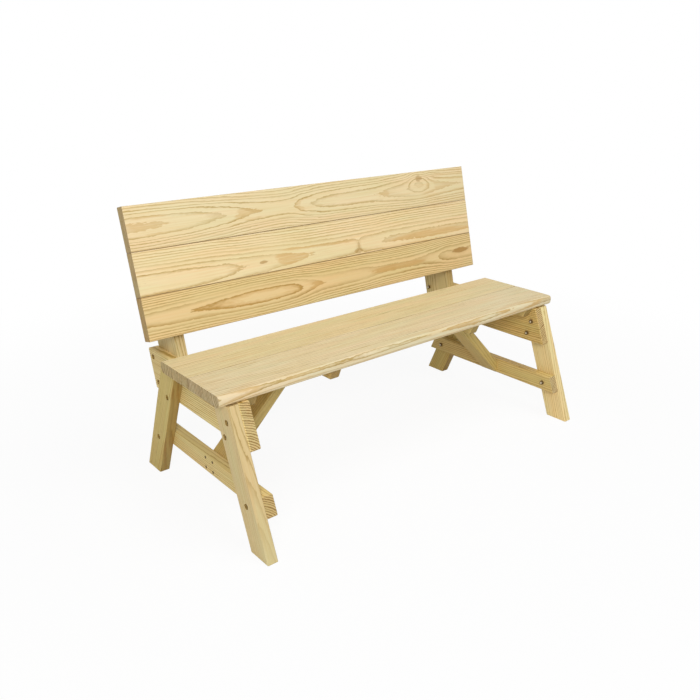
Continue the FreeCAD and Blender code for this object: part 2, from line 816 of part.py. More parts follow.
def bolt_piece(label, length, diameter, head, shank_sides):
    """A round-headed bolt. Its head bears at X = 0 and its shank runs towards +X."""
    head_diameter, head_height = head
    return stepped_piece(label, [
        (f"-{head_height}", head_height, head_diameter, HEAD_SIDES),
        ("0", length, diameter, shank_sides),
    ])


def ring_piece(label, outer, bore, thickness, outer_sides=HEAD_SIDES, bore_sides=SHANK_SIDES):
    """A washer, spacer or nut, standing on X = 0. With six sides, two of its flats are square to Y."""
    body = new_body(label)
    sketch = sketch_on(body, "YZ_Plane")
    draw_round(sketch, ("0", "0"), outer, outer_sides)
    draw_round(sketch, ("0", "0"), bore, bore_sides)
    pad(body, sketch, thickness)
    return body


def screw_piece(label, length, role="YZ_Plane"):
    """A wood screw along a plane's normal. The top of its flat head lies at the origin."""
    return stepped_piece(label, [
        ("0", "screw_head_height", "screw_head_diameter", SCREW_SIDES),
        ("screw_head_height", f"{length} - screw_head_height", "screw_diameter", SCREW_SIDES),
    ], role)


def copies(label, pattern, spots):
    """Set copies of one fastener down at several places, as one group of separate solids."""
    links = []
    for spot in spots:
        link = doc.addObject("App::Link", f"{label}_copy")
        link.setLink(pattern)
        place(link, *spot)
        links.append(link)
    group = doc.addObject("Part::Compound", label)
    group.Label = label
    group.Links = links
    return keep(label, group)


def on_both_sides(places, distance, outward=False):
    """Places on both sides of the frame, for fasteners that point inboard or outward."""
    spots = []
    for side in SIDES:
        turn = "0" if (side == "left") != outward else "180"
        for setback, height in places:
            spots.append((mirrored(side, distance), f"{GROUND_Y} + {setback}", height, Vector(0, 0, 1), turn))
    return spots


def at_height(places, height):
    return [(x, f"{GROUND_Y} + {setback}", height) for x, setback in places]


def into_back(columns, depth):
    """Places for screws that point forward, square to the reclined back, in columns of six."""
    return [
        (x, f"{GROUND_Y} + {upright_y(depth, rise)}", upright_z(depth, rise), Vector(1, 0, 0), "-recline")
        for x in columns for rise in BACK_SCREW_RISES
    ]


# Bolts of the legs and posts. From outside inboard: head, two timbers, washer and nut.
BOLT_HEAD = ("bolt_head_diameter", "bolt_head_height")
frame_bolt = bolt_piece("frame_bolt_pattern", "bolt_length", "bolt_diameter", BOLT_HEAD, SHANK_SIDES)
frame_washer = ring_piece("frame_washer_pattern", "washer_diameter", BOLT_HOLE, "washer_thickness")
frame_nut = ring_piece("frame_nut_pattern", "nut_width", BOLT_HOLE, "nut_height", NUT_SIDES)
RAIL_INNER = "2 * frame_thickness"
POST_INNER = "3 * frame_thickness"
copies("leg_bolts", frame_bolt, on_both_sides(LEG_BOLTS, "counterbore_depth"))
copies("leg_washers", frame_washer, on_both_sides(LEG_BOLTS, RAIL_INNER))
copies("leg_nuts", frame_nut, on_both_sides(LEG_BOLTS, f"{RAIL_INNER} + washer_thickness"))
copies("post_bolts", frame_bolt, on_both_sides(POST_BOLTS, "frame_thickness + counterbore_depth"))
copies("post_washers", frame_washer, on_both_sides(POST_BOLTS, POST_INNER))
copies("post_nuts", frame_nut, on_both_sides(POST_BOLTS, f"{POST_INNER} + washer_thickness"))

# Wood screws.
foot_screw = screw_piece("foot_screw_pattern", "foot_screw_length")
brace_screw = screw_piece("brace_screw_pattern", "brace_screw_length", "XY_Plane")
cleat_screw = screw_piece("cleat_screw_pattern", "cleat_screw_length", "XY_Plane")
side_screw = screw_piece("side_screw_pattern", "side_screw_length")
batten_screw = screw_piece("batten_screw_pattern", "batten_screw_length", "XZ_Plane")
back_screw = screw_piece("back_screw_pattern", "back_screw_length", "XZ_Plane")
brace_head_spots = [(mirrored(side, BRACE_SCREW_X), spot) for side in SIDES for spot in BRACE_SCREWS_Y]
cleat_spots = [
    (mirrored(side, f"{inset} + cleat_width / 2"), spot)
    for side in SIDES for inset in CLEAT_INSETS.values() for spot in SEAT_SCREWS_Y
]
BATTEN_SCREW_DEPTH = "back_board_thickness + batten_screw_cover + screw_head_height"
copies("brace_foot_screws", foot_screw, on_both_sides(FOOT_SCREWS, "frame_thickness"))
copies("brace_head_screws", brace_screw,
       at_height(brace_head_spots, f"{BRACE_SCREW_HEAD} - screw_head_height"))
copies("seat_cleat_screws", cleat_screw, at_height(cleat_spots, "frame_height - cleat_depth"))
copies("end_cleat_side_screws", side_screw,
       on_both_sides(SIDE_SCREWS, f"{RAIL_INNER} + cleat_width", outward=True))
copies("batten_screws", batten_screw, into_back([batten_middle(side) for side in SIDES], BATTEN_SCREW_DEPTH))
copies("back_cleat_screws", back_screw, into_back(["0"], "back_board_thickness + back_cleat_thickness"))

# The pivot. From the post's outer face inboard: head, post, spacer, batten, washer and nut.
PIVOT = [(upright_y("pivot_depth", "pivot_rise"), upright_z("pivot_depth", "pivot_rise"))]
BATTEN_INNER = "batten_face + batten_thickness"
PIVOT_HEAD = ("pivot_head_diameter", "pivot_head_height")
pivot_bolt = bolt_piece("pivot_bolt_pattern", "pivot_length", "pivot_diameter", PIVOT_HEAD, ROUND)
pivot_spacer = ring_piece("pivot_spacer_pattern", "pivot_ring_diameter", PIVOT_BORE, "side_gap")
pivot_washer = ring_piece("pivot_washer_pattern", "pivot_ring_diameter", PIVOT_BORE, "washer_thickness")
pivot_nut = ring_piece("pivot_nut_pattern", "pivot_nut_width", PIVOT_BORE, "pivot_nut_height", NUT_SIDES)
copies("pivot_bolts", pivot_bolt, on_both_sides(PIVOT, RAIL_INNER))
copies("pivot_spacers", pivot_spacer, on_both_sides(PIVOT, POST_INNER))
copies("pivot_washers", pivot_washer, on_both_sides(PIVOT, BATTEN_INNER))
copies("pivot_nuts", pivot_nut, on_both_sides(PIVOT, f"{BATTEN_INNER} + washer_thickness"))


def lock_pin(side):
    """A pin with a turned knob, drawn back so far that it holds the post only.

    Pushed in by the lock travel, it enters the batten beside the post.
    """
    tip = "frame_thickness + lock_travel - pin_tip_setback"
    body = keep(f"lock_pin_{side}", stepped_piece(f"lock_pin_{side}", [
        ("-knob_length", "knob_rim", "knob_diameter", HEAD_SIDES),
        ("knob_rim - knob_length", "knob_length - knob_rim", "knob_neck_diameter", HEAD_SIDES),
        ("0", tip, "pin_diameter", HEAD_SIDES),
    ]))
    spot = ("pivot_depth - lock_offset", "pivot_rise - lock_drop")
    place(
        body,
        x=mirrored(side, "2 * frame_thickness - lock_travel"),
        y=f"{GROUND_Y} + {upright_y(*spot)}",
        z=upright_z(*spot),
        axis=Vector(0, 0, 1),
        angle="0" if side == "left" else "180",
    )


for side in SIDES:
    lock_pin(side)

doc.recompute()

for item in doc.Objects:
    if "Invalid" in item.State or "Error" in item.State:
        raise ValueError(f"{item.Label} did not build")
for label, item in node_objects.items():
    if item.Shape.isNull() or not item.Shape.isValid():
        raise ValueError(f"{label} has no sound shape")

for label, item in node_objects.items():
    item.Shape.exportStep(f"parts/{label}.step")
print(len(node_objects), "sub-parts written")
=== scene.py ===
import bmesh
import bpy
import math
import random
from mathutils import Matrix, Vector


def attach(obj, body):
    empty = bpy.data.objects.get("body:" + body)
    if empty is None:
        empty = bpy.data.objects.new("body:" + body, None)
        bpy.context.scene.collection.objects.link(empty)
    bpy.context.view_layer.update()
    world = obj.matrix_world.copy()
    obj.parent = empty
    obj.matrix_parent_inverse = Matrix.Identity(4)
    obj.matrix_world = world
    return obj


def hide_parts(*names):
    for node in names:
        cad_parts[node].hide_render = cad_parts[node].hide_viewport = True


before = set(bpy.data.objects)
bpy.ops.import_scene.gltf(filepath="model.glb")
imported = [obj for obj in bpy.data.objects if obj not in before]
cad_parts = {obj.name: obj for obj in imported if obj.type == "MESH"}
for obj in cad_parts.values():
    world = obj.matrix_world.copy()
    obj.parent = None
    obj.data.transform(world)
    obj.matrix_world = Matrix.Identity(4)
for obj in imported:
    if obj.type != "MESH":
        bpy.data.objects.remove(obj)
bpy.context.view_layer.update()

# Looks of a pine bench whose back swings over to make a table. Metres and radians, in the frame's
# axes: X along the bench, Y from front to rear, Z up.

RECLINE = math.radians(14)
FRONT_LEAN = math.radians(21.3)
REAR_LEAN = math.radians(23.3)
SIDES = {"left": -1, "right": 1}

# Directions of the timbers: along the grain, across the wide face, and through the thickness.
RIGHT = Vector((1, 0, 0))
REARWARD = Vector((0, 1, 0))
UP = Vector((0, 0, 1))
UP_BACK = Vector((0, math.sin(RECLINE), math.cos(RECLINE)))
INTO_BACK = Vector((0, math.cos(RECLINE), -math.sin(RECLINE)))
UP_FRONT_LEG = Vector((0, math.sin(FRONT_LEAN), math.cos(FRONT_LEAN)))
UP_REAR_LEG = Vector((0, -math.sin(REAR_LEAN), math.cos(REAR_LEAN)))


class Wire:
    """A value that runs through a material. Sums written with it become Math nodes."""

    def __init__(self, finish, socket):
        self.finish = finish
        self.socket = socket

    def __add__(self, other):
        return self.finish.math("ADD", self, other)

    __radd__ = __add__

    def __sub__(self, other):
        return self.finish.math("SUBTRACT", self, other)

    def __rsub__(self, other):
        return self.finish.math("SUBTRACT", other, self)

    def __mul__(self, other):
        return self.finish.math("MULTIPLY", self, other)

    __rmul__ = __mul__

    def __truediv__(self, other):
        return self.finish.math("DIVIDE", self, other)

    def __rtruediv__(self, other):
        return self.finish.math("DIVIDE", other, self)


class Finish:
    """The nodes of a material, or of the world."""

    def __init__(self, owner, output="ShaderNodeOutputMaterial"):
        owner.use_nodes = True
        self.owner = owner
        self.tree = owner.node_tree
        self.tree.nodes.clear()
        self.output = self.tree.nodes.new(output)

    def node(self, kind, settings=None, values=None, output=0):
        """Add a node: its settings first, then its sockets' values or links. Gives an output."""
        item = self.tree.nodes.new(kind)
        for name, value in (settings or {}).items():
            if name == "curve":
                self.set_curve(item.mapping, value)
            else:
                setattr(item, name, value)
        for name, value in (values or {}).items():
            if isinstance(value, Wire):
                self.tree.links.new(value.socket, item.inputs[name])
            else:
                item.inputs[name].default_value = value
        return Wire(self, item.outputs[output])

    @staticmethod
    def set_curve(mapping, points):
        curve = mapping.curves[0]
        while len(curve.points) < len(points):
            curve.points.new(0.5, 0.5)
        for point, place in zip(curve.points, points):
            point.location = place
        mapping.update()

    def math(self, operation, *values):
        return self.node("ShaderNodeMath", {"operation": operation}, dict(enumerate(values)))

    def ramp(self, value, start, end, low=0.0, high=1.0):
        """A smooth rise from low to high as the value goes from start to end."""
        values = {"Value": value, "From Min": start, "From Max": end, "To Min": low, "To Max": high}
        return self.node("ShaderNodeMapRange", {"interpolation_type": "SMOOTHSTEP"}, values)

    def mix(self, factor, first, second, blend="MIX"):
        """Blend two colours."""
        settings = {"data_type": "RGBA", "blend_type": blend}
        return self.node("ShaderNodeMix", settings, {0: factor, 6: first, 7: second}, 2)

    def vector(self, x, y, z):
        return self.node("ShaderNodeCombineXYZ", None, {"X": x, "Y": y, "Z": z})

    def dot(self, vector, direction):
        if not isinstance(direction, Wire):
            direction = tuple(direction)
        settings = {"operation": "DOT_PRODUCT"}
        return self.node("ShaderNodeVectorMath", settings, {0: vector, 1: direction}, "Value")

    def place(self):
        return self.node("ShaderNodeTexCoord", None, None, "Object")

    def noise(self, place, scale, detail=2.0, roughness=0.5):
        """Cloudy variation about zero, from -1 to 1."""
        values = {"Vector": place, "Scale": scale, "Detail": detail, "Roughness": roughness}
        return self.node("ShaderNodeTexNoise", None, values) * 2 - 1

    def arrises(self, radius):
        """How worn a place is, high along the edges, and the rounded normal that goes with it."""
        rounded = self.node("ShaderNodeBevel", {"samples": 6}, {"Radius": radius})
        flat = self.node("ShaderNodeNewGeometry", None, None, "Normal")
        return self.ramp(self.dot(rounded, flat), 0.995, 0.8), rounded

    def relief(self, height, depth, strength, normal):
        values = {"Strength": strength, "Distance": depth, "Height": height, "Normal": normal}
        return self.node("ShaderNodeBump", None, values)

    def close(self, shader, socket="Surface"):
        self.tree.links.new(shader.socket, self.output.inputs[socket])
        return self.owner

    def surface(self, **values):
        return self.close(self.node("ShaderNodeBsdfPrincipled", None, values, "BSDF"))


def shade(red, green, blue):
    """A colour from its values as seen on a screen, 0 to 255."""
    shares = [value / 255 for value in (red, green, blue)]
    return tuple(((share + 0.055) / 1.055) ** 2.4 if share > 0.04 else share / 12.92
                 for share in shares) + (1.0,)


def stained(colour, red, green, blue):
    """A colour seen through a stain that lets through these shares of it."""
    return (colour[0] * red, colour[1] * green, colour[2] * blue, 1.0)


class Cut:
    """How one timber was sawn from its log, which decides the figure on its faces.

    - colour: the pale wood between the rings, as on a screen
    - heart: where the log's middle lies, as a share of the timber's width and in metres below its
      face
    - ring: the usual width of a ring in metres
    - figure: how many rings the timber has climbed at places along it. An arch's tip points
      onwards where it climbs past a whole number, and back where it falls past one.
    - wander: how many rings the timber strays, slowly along it
    - contrast: how dark the late wood is
    - grain: how strong the warm streaks along the timber are
    - knots: for each its place along and across as shares, its half length and half width in
      metres, how many rings it pushes aside, how far that reaches, and how dark it is
    - stains: for each its place, half length, half width and darkness, as for a knot. A stain
      darkens the late half of the rings that it covers.
    - edges: those that take painted shade, each 0 or 1 across, and how much: the shade in the
      joints between boards, and on a leg at 0 the shade over its whole front face
    - ends: the shares of red, green and blue that the sawn ends keep
    """

    def __init__(self, colour, heart, ring, figure=((0, 0.4), (1, 2.6)), wander=0.9, contrast=1.0,
                 grain=0.5, knots=(), stains=(), edges=(), ends=(0.73, 0.69, 0.6)):
        self.colour = shade(*colour)
        self.heart = heart
        self.ring = ring
        self.figure = figure
        self.wander = wander
        self.contrast = contrast
        self.grain = grain
        self.knots = knots
        self.stains = stains
        self.edges = edges
        self.ends = ends + (1.0,)


# The most rings that a figure may climb.
FIGURE_HEIGHT = 4.0

# Stains of the pale wood: the dark late part of each ring, on faces and on sawn ends, and warm
# heartwood. Then tinges over all of it, the wood of stains and knots, and painted shade at
# shaded edges and on the walls of the bolts' recesses.
LATE_RING = (0.52, 0.38, 0.12)
LATE_END = (0.38, 0.25, 0.08)
HEARTWOOD = (0.91, 0.76, 0.54)
GREENISH = (0.95, 1.0, 0.93, 1.0)
ROSY = (1.03, 0.99, 0.955, 1.0)
AMBER = (0.76, 0.56, 0.3)
SHADED = (0.52, 0.42, 0.32, 1.0)
KNOT_HEART = shade(165, 120, 44)
RECESS_SHADE = (0.66, 0.55, 0.34, 1.0)

# Radii in metres where the painted shade on the wall of a bolt's recess ends and begins.
RECESS_RIM = (0.0097, 0.0091)

# Variations of the wood: how fast each changes per metre along and across the grain, its detail
# and its roughness.
WANDERING = (1.6, 9, 2.0, 0.5)
COARSE_RIPPLE = (9, 60, 2.0, 0.5)
FINE_RIPPLE = (48, 150, 2.0, 0.5)
PATCHES = (3, 26, 3.0, 0.5)
BREAKS = (7, 170, 2.0, 0.5)
FIBRES = (14, 620, 3.0, 0.65)
CANALS = (22, 900, 2.0, 0.5)
STREAKS = (4, 190, 3.0, 0.6)
CLOUDS = (2.2, 12, 3.0, 0.5)
TINGES = (2.6, 22, 2.0, 0.5)

# How far the log's middle strays, and the pine's rounded arrises and relief, in metres.
HEART_STRAY = 0.006
PINE_ARRIS = 0.002
PINE_RELIEF = 0.0006

# The planer's marks come every 4 mm. In radians per metre.
PLANER_MARKS = 1570


class Pine(Finish):
    """Pine for one CAD node, sawn as its cut says and lying in the given directions."""

    def __init__(self, name, cut, along, across, through):
        super().__init__(bpy.data.materials.new(f"pine_{name}"))
        random.seed(name)
        self.seed = random.uniform(0, 40)
        self.cut = cut
        self.along, self.across, self.through = along, across, through
        self.points = [vertex.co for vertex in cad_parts[name].data.vertices]
        self.along_start, self.full_length = self.reach(along)
        self.across_start, self.full_width = self.reach(across)
        through_start = self.reach(through)[0]
        place = self.place()
        self.length = self.dot(place, along) - self.along_start
        self.width = self.dot(place, across) - self.across_start
        self.depth = self.dot(place, through) - through_start
        self.patchy = self.variation(*PATCHES)
        self.ripple = self.variation(*COARSE_RIPPLE) + self.variation(*FINE_RIPPLE)

    def reach(self, direction):
        """Where the timber starts in a direction, and how far it goes."""
        places = [point.dot(direction) for point in self.points]
        return min(places), max(places) - min(places)

    def variation(self, along_rate, across_rate, detail, roughness):
        """A noise that is long along the grain and narrow across it."""
        place = self.vector(self.length * along_rate + self.seed,
                            self.width * across_rate, self.depth * across_rate)
        return self.noise(place, 1.0, detail, roughness)

    def nearness(self, along_share, across_share, half_length, half_width):
        """The square of how far a place lies from a spot, where the spot's rim is 1."""
        ahead = (self.length - along_share * self.full_length) / half_length
        aside = (self.width - across_share * self.full_width) / half_width
        return ahead * ahead + aside * aside

    def grow(self):
        """Rings about the middle of the log, and the knots that push them aside."""
        heart_share, heart_depth = self.cut.heart
        wander = self.variation(*WANDERING)
        self.sideways = self.width - heart_share * self.full_width + wander * HEART_STRAY
        self.below = self.depth + heart_depth
        self.radius = self.math("SQRT", self.sideways * self.sideways + self.below * self.below)
        self.outward = self.radius - heart_depth
        curve = [(share, climb / FIGURE_HEIGHT) for share, climb in self.cut.figure]
        share = self.length / self.full_length
        climb = self.node("ShaderNodeFloatCurve", {"curve": curve}, {"Value": share})
        uneven = self.noise(self.vector(self.outward * 75, self.seed, 0.0), 1.0)
        uneven = uneven * self.ramp(self.outward, 0.0, 0.012)
        rings = self.outward / self.cut.ring + climb * FIGURE_HEIGHT + wander * self.cut.wander
        rings = rings + self.ripple * 0.2 + uneven * 0.6
        knot = 0.0
        for *spot, push, spread, darkness in self.cut.knots:
            near = self.nearness(*spot)
            away = near / spread ** 2
            rings = rings + push / (1 + away * away)
            ragged = near + self.ripple * 0.9 + self.patchy * 0.6
            knot = self.math("MAXIMUM", self.ramp(ragged, 1.2, 0.5, 0.0, darkness), knot)
        return rings, knot

    def painted_edge_shade(self):
        """Painted shade along edges where the next board meets them, and over a leg's whole front
        face.
        """
        shading = 0.0
        for edge, darkness in self.cut.edges:
            gap = self.math("ABSOLUTE", self.width - edge * self.full_width)
            near = self.ramp(gap, 0.002, 0.0006, 0.0, darkness)
            shading = self.math("MAXIMUM", near, shading)
        return shading

    def painted_recess_shade(self):
        """Painted shade on the walls of the bolts' recesses."""
        walls = 0.0
        if abs(self.through.x) < 0.9:
            return walls
        side = middle_of(self.points).x
        outer, inner = (radius ** 2 for radius in RECESS_RIM)
        for middle in BOLT_MIDDLES:
            bolt_ahead = middle.dot(self.along) - self.along_start
            bolt_aside = middle.dot(self.across) - self.across_start
            inside = 0 < bolt_ahead < self.full_length and 0 < bolt_aside < self.full_width
            if inside and middle.x * side > 0:
                ahead = self.length - bolt_ahead
                aside = self.width - bolt_aside
                wall = self.ramp(ahead * ahead + aside * aside, outer, inner)
                walls = self.math("MAXIMUM", wall, walls)
        return walls

    def late_wood(self, rings):
        """The dark late part of each ring, and the stains that cling to it.

        Late wood ends sharply where the next ring starts. Rings differ in width and darkness.
        """
        phase = self.math("FRACT", rings)
        stain = 0.0
        for *spot, darkness in self.cut.stains:
            near = self.nearness(*spot) + self.patchy * 0.5
            stain = self.math("MAXIMUM", self.ramp(near, 1.3, 0.7, 0.0, darkness), stain)
        broken = self.ramp(self.variation(*BREAKS), -0.4, 0.15, 0.3)
        stain = stain * self.ramp(phase, 0.4, 0.56) * self.ramp(phase, 1.0, 0.97) * broken
        number = self.math("FLOOR", rings)
        strength = self.node("ShaderNodeTexWhiteNoise", {"noise_dimensions": "1D"},
                             {"W": number + self.seed}, "Value")
        late = self.ramp(phase, 0.2 + strength * 0.45, 0.9) * 0.65
        late = late + self.ramp(phase, 0.78, 0.96) * 0.35
        late = late * self.ramp(phase, 1.0, 0.95) * self.ramp(self.outward, 0.0, 0.003, 0.6)
        late = late * (0.35 + strength * 0.5 + self.patchy * 0.6) * self.cut.contrast
        return late, stain

    def sawn_ends(self):
        """Where the surface is a sawn end, and the fine checks that run out over it."""
        normal = self.node("ShaderNodeTexCoord", None, None, "Normal")
        facing = self.math("ABSOLUTE", self.dot(normal, self.along))
        end = self.ramp(facing, 0.72, 0.95)
        bearing = self.math("ARCTAN2", self.sideways, self.below)
        checks = self.vector(bearing * 90 + self.seed, self.radius * 60, 0.0)
        checks = self.ramp(self.noise(checks, 1.0, 3.0), 0.42, 0.6) * end
        return end, checks

    def finished(self):
        """All of that in the colour, roughness and relief of one material."""
        cut = self.cut
        rings, knot = self.grow()
        late, stain = self.late_wood(rings)
        end, checks = self.sawn_ends()
        late = self.math("MINIMUM", late * (1 + end * (2.6 / cut.contrast - 0.4)), 0.9)
        worn, rounded = self.arrises(PINE_ARRIS)

        # Fibres and resin canals, far longer than they are wide, and the planer's faint chatter.
        fibre = self.variation(*FIBRES)
        canals = self.ramp(self.variation(*CANALS), 0.42, 0.7)
        streaks = self.ramp(self.variation(*STREAKS), -0.3, 0.5)
        cloud = self.variation(*CLOUDS)
        tinge = self.ramp(self.variation(*TINGES), -0.5, 0.5)
        chatter = self.math("SINE", self.length * PLANER_MARKS)

        warm = stained(cut.colour, *HEARTWOOD)
        dark = stained(cut.colour, *LATE_RING)
        wood = self.mix(self.ramp(cloud, -0.5, 0.9) * 0.4, cut.colour, warm)
        wood = self.mix(streaks * cut.grain, wood, warm)
        wood = self.mix(1.0, wood, self.mix(tinge, GREENISH, ROSY), "MULTIPLY")
        wood = self.mix(late, wood, self.mix(end, dark, stained(cut.colour, *LATE_END)))
        wood = self.mix(stain, wood, stained(cut.colour, *AMBER))
        wood = self.mix(canals * 0.25 + checks * 0.6, wood, dark)
        wood = self.mix(knot, wood, KNOT_HEART)
        wood = self.mix(end, wood, self.mix(1.0, wood, cut.ends, "MULTIPLY"))
        rubbed = worn * self.ramp(cloud + fibre * 0.5, -0.6, 0.6) * 0.3
        wood = self.mix(rubbed, wood, cut.colour)
        # Painted shade on the walls of the sunk bolts' recesses.
        wood = self.mix(self.painted_recess_shade(), wood, self.mix(1.0, wood, RECESS_SHADE, "MULTIPLY"))
        # Painted shade at the joints between boards and over the legs' front faces.
        wood = self.mix(self.painted_edge_shade(), wood, self.mix(1.0, wood, SHADED, "MULTIPLY"))
        brightness = 1 + random.uniform(-0.02, 0.02) + fibre * 0.05 + cloud * 0.03
        wood = self.node("ShaderNodeHueSaturation", None, {"Color": wood, "Value": brightness})

        height = late * 0.6 + fibre * 0.5 - canals * 0.4 - checks * 1.5 + knot * 0.3
        height = height + chatter * 0.12
        roughness = 0.6 - late * 0.1 + fibre * 0.05 + end * 0.2 - knot * 0.15
        bump = self.relief(height, PINE_RELIEF, 0.35, rounded)
        return self.surface(**{"Base Color": wood, "Roughness": roughness, "Normal": bump})


BARE_STEEL = shade(226, 214, 184)

# How fast blotches and grit change over steel, per metre, and its arrises and relief in metres.
BLOTCHES = 260.0
GRIT = 2400.0
STEEL_ARRIS = 0.0005
STEEL_RELIEF = 0.0002


def steel(name, clean, dull, rubbed, roughness, bare_within=0.0):
    """Coated steel with faint blotches, rubbed bright on its edges.

    It can be bare within a distance from the middle of the bench, in metres.
    """
    finish = Finish(bpy.data.materials.new(name))
    place = finish.place()
    blotch = finish.noise(place, BLOTCHES, 4.0, 0.6)
    grit = finish.noise(place, GRIT)
    worn, rounded = finish.arrises(STEEL_ARRIS)
    colour = finish.mix(finish.ramp(blotch, -0.5, 0.6), shade(*clean), shade(*dull))
    colour = finish.mix(worn * 0.4, colour, shade(*rubbed))
    if bare_within:
        aside = finish.math("ABSOLUTE", finish.dot(place, RIGHT))
        bare = finish.ramp(aside, bare_within + 0.001, bare_within)
        colour = finish.mix(bare, colour, BARE_STEEL)
    return finish.surface(**{
        "Base Color": colour,
        "Roughness": roughness + blotch * 0.08 - worn * 0.1,
        "Metallic": 0.75 - finish.ramp(blotch, 0.1, 0.8) * 0.25,
        "Normal": finish.relief(blotch + grit * 0.4, STEEL_RELIEF, 0.25, rounded),
    })


def paint(node, material):
    """Give a CAD node its material."""
    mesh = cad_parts[node].data
    mesh.materials.clear()
    mesh.materials.append(material)


# The three boards of the back, from the bottom up, follow the real boards' figure.
BACK_CUTS = {
    "bottom": Cut(
        (230, 206, 156), heart=(0.47, 0.08), ring=0.0045, wander=0.08, contrast=2.1, grain=0.25,
        figure=[(0, 1.35), (0.05, 1.16), (0.11, 1.02), (0.16, 0.8), (0.22, 0.45), (0.3, 0.3),
                (0.36, 0.5), (0.4, 0.95), (0.43, 1.5), (0.47, 2.0), (0.52, 2.12), (0.6, 2.3),
                (0.63, 2.55), (0.72, 2.75), (0.8, 2.6), (0.83, 2.3), (0.86, 2.0), (0.885, 1.5),
                (0.92, 1.2), (1, 1.1)],
        knots=[(0.955, 0.54, 0.045, 0.0115, 0.5, 1.6, 0.8)],
        stains=[(0.26, 0.46, 0.26, 0.03, 0.33), (0.445, 0.44, 0.04, 0.015, 0.6),
                (0.71, 0.46, 0.16, 0.012, 0.7)],
        edges=[(1, 1.0)],
    ),
    "middle": Cut(
        (240, 221, 180), heart=(0.24, 0.1), ring=0.0055, wander=0.08, contrast=1.25,
        figure=[(0, 0.05), (0.12, 0.2), (0.2, 0.5), (0.255, 1.0), (0.3, 1.15), (0.34, 1.45),
                (0.4, 1.75), (0.445, 2.0), (0.5, 2.12), (0.6, 2.15), (0.66, 2.1), (0.675, 1.97),
                (0.72, 1.85), (0.85, 1.72), (1, 1.8)],
        knots=[(0.305, 0.27, 0.015, 0.0055, 0.4, 1.6, 0.6),
               (0.588, 0.1, 0.022, 0.011, 0.1, 1.6, 0.5),
               (0.59, 0.24, 0.007, 0.014, 0.5, 2.2, 0.35)],
        stains=[(0.395, 0.3, 0.08, 0.03, 0.6), (0.5, 0.42, 0.12, 0.012, 0.55),
                (0.85, 0.16, 0.25, 0.022, 0.68)],
        edges=[(0, 1.0), (1, 1.0)],
    ),
    "top": Cut(
        (233, 217, 179), heart=(0.52, 0.07), ring=0.0055, wander=0.08, contrast=1.05,
        figure=[(0, 0.7), (0.05, 0.8), (0.095, 1.0), (0.14, 1.2), (0.2, 1.75), (0.23, 2.0),
                (0.26, 2.5), (0.32, 3.0), (0.38, 3.2), (0.405, 3.05), (0.42, 2.8), (0.44, 2.3),
                (0.465, 2.0), (0.5, 1.5), (0.58, 1.3), (0.65, 1.12), (0.68, 1.0), (0.7, 0.8),
                (0.74, 0.5), (0.8, 0.3), (0.88, 0.6), (0.95, 0.9), (1, 1.1)],
        knots=[(0.828, 0.8, 0.018, 0.015, -2.0, 3.0, 0.5)],
        stains=[(0.29, 0.48, 0.06, 0.022, 0.5), (0.05, 0.55, 0.07, 0.035, 0.35),
                (0.425, 0.5, 0.04, 0.02, 0.4), (0.69, 0.5, 0.04, 0.02, 0.4),
                (0.95, 0.4, 0.16, 0.09, 0.35)],
        edges=[(0, 1.0)],
    ),
}
SEAT_CUTS = {
    "front": Cut(
        (236, 224, 193), heart=(-0.5, 0.03), ring=0.009, contrast=1.05, grain=0.8,
        figure=[(0, 0.2), (0.3, 1.6), (0.6, 1.4), (1, 2.6)],
        stains=[(0.05, 0.04, 0.07, 0.02, 0.7), (0.2, 0.06, 0.1, 0.015, 0.5),
                (0.64, 0.05, 0.14, 0.018, 0.8), (0.88, 0.05, 0.14, 0.022, 0.9)],
        edges=[(1, 1.0)],
    ),
    "rear": Cut(
        (233, 220, 182), heart=(1.5, 0.03), ring=0.009, contrast=1.05, grain=0.8,
        stains=[(0.16, 0.3, 0.12, 0.02, 0.35), (0.66, 0.35, 0.12, 0.012, 0.5),
                (0.87, 0.6, 0.14, 0.012, 0.5)],
        edges=[(0, 1.0)],
    ),
}

# The sawn ends of the left rails.
RAIL_ENDS = (0.75, 0.71, 0.7)

# The sticks under them, each with the direction along it and its cut. Their wide faces look along
# the bench.
STICKS = {
    # Edges at 0 on the legs put painted shade over their front faces: a little on the front legs,
    # much more on the rear legs, which stand in the seat's shade.
    "front_leg": (UP_FRONT_LEG, Cut(
        (224, 206, 158), heart=(-1.3, 0.03), ring=0.0075, contrast=0.8, edges=[(0, 0.17)])),
    "rear_leg": (UP_REAR_LEG, Cut(
        (215, 194, 123), heart=(-1.1, 0.03), ring=0.008, contrast=0.9, edges=[(0, 0.75)],
        stains=[(0.16, 0.04, 0.13, 0.016, 0.6), (0.9, 0.04, 0.07, 0.014, 0.5)])),
    "upper_rail": (REARWARD, Cut(
        (240, 221, 162), heart=(1.35, 0.03), ring=0.0069, contrast=3.0, ends=RAIL_ENDS)),
    "lower_rail": (REARWARD, Cut(
        (231, 209, 148), heart=(1.9, 0.04), ring=0.0065, contrast=1.3, ends=RAIL_ENDS)),
    # The back posts' pine is darkened as painted shade for the right post, which stands in the
    # back's shadow. The left post has its own paler pine below.
    "back_post": (UP_BACK, Cut((212, 192, 136), heart=(0.3, 0.03), ring=0.009, contrast=1.1)),
    "back_batten": (UP_BACK, Cut(
        (232, 213, 166), heart=(-1.2, 0.03), ring=0.0065, contrast=1.2)),
    "seat_end_cleat": (REARWARD, Cut(
        (205, 182, 122), heart=(0.5, 0.04), ring=0.004, contrast=0.7)),
    "seat_cross_cleat": (REARWARD, Cut(
        (205, 182, 122), heart=(0.5, 0.04), ring=0.004, contrast=0.7)),
}

